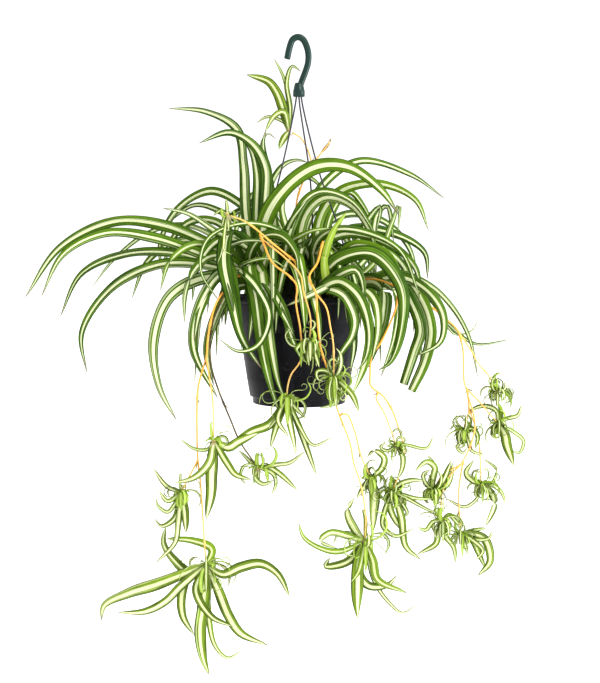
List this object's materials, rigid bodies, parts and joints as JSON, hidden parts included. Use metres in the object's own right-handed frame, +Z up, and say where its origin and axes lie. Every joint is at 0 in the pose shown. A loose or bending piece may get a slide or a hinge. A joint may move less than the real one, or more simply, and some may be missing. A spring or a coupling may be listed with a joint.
{
  "type": "potted spider plant",
  "caption": "Hanging potted spider plant: arching striped leaves over a black nursery pot on wires and a plastic hook, with trailing runners and young plantlets.",
  "frame": {"origin": "the seat of the hook, at the inner top of its bend, where the object hangs", "axes": "+Z up, -Y towards the viewer of the picture, +X to that viewer's right"},
  "size_m": [0.7257, 0.4615, 0.9156],
  "materials": {
    "hook_plastic": "satin",
    "wire": "satin",
    "pot_plastic": "satin",
    "soil": "matte",
    "leaf": "satin",
    "plantlet_leaf": "satin",
    "runner": "satin",
    "dry_runner": "matte"
  },
  "bodies": {
    "root": {"hook": "hook_plastic", "hanger_wire_1": "wire", "hanger_wire_2": "wire", "hanger_wire_3": "wire", "pot": "pot_plastic", "soil": "soil", "mother_plant": "leaf", "runner_centre_left": "runner", "runner_centre_right": "runner", "runner_left": "runner", "runner_brown": "dry_runner", "runner_right": "runner", "runner_far_right": "runner", "runner_top": "runner", "runner_pale": "runner", "plantlet_top": "plantlet_leaf", "plantlet_pale": "plantlet_leaf", "plantlet_centre": "plantlet_leaf", "plantlet_pot": "plantlet_leaf", "plantlet_under_pot": "plantlet_leaf", "plantlet_brown": "plantlet_leaf", "plantlet_left_upper": "plantlet_leaf", "plantlet_left_middle": "plantlet_leaf", "plantlet_left_low": "plantlet_leaf", "plantlet_right_low": "plantlet_leaf", "plantlet_right_inner": "plantlet_leaf", "plantlet_right_stem": "plantlet_leaf", "plantlet_right_upper": "plantlet_leaf", "plantlet_far_inner": "plantlet_leaf", "plantlet_far_low": "plantlet_leaf", "plantlet_far_tail": "plantlet_leaf", "plantlet_far_ball": "plantlet_leaf", "plantlet_far_outer": "plantlet_leaf", "plantlet_far_upper": "plantlet_leaf", "plantlet_far_stem": "plantlet_leaf"}
  },
  "joints": []
}
